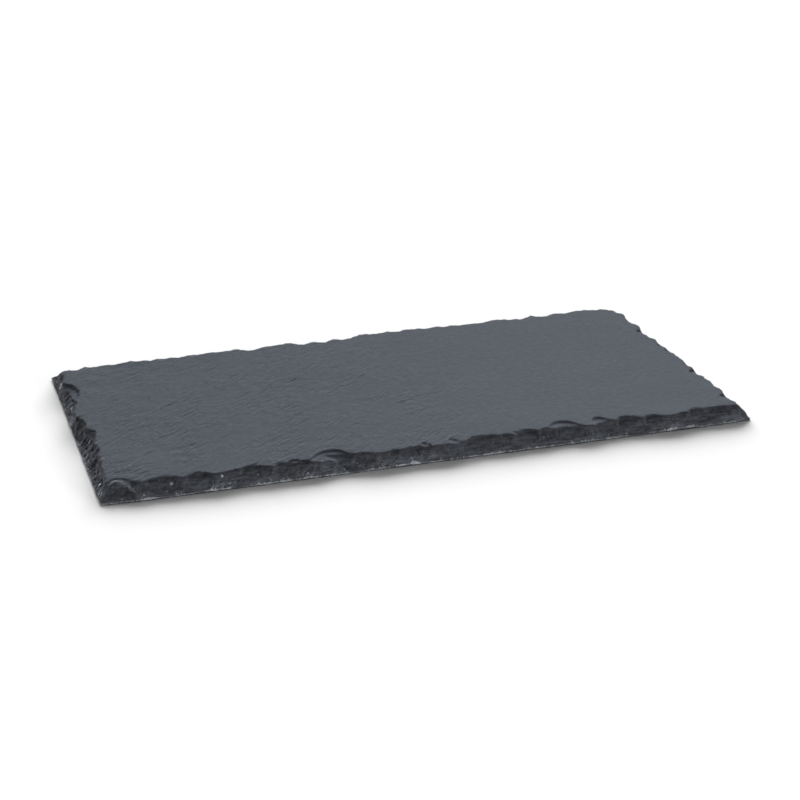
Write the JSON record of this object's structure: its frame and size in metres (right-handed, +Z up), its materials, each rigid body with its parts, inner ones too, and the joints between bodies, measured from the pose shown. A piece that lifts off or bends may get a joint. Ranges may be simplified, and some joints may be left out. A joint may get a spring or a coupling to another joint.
{
  "type": "slate platter",
  "caption": "Thin rectangular slab of dark blue-grey slate with flat cleft faces and hand-chipped sloping edges, for serving food.",
  "frame": {"origin": "centre of the slab's bounding box, on the underside", "axes": "+X along the slab's length, +Y across its width towards the narrow-bevelled back edge, +Z up out of the serving face"},
  "size_m": [0.3, 0.153, 0.006],
  "materials": {
    "slate": "satin cleft"
  },
  "bodies": {
    "root": {"slate_slab": "slate"}
  },
  "joints": []
}
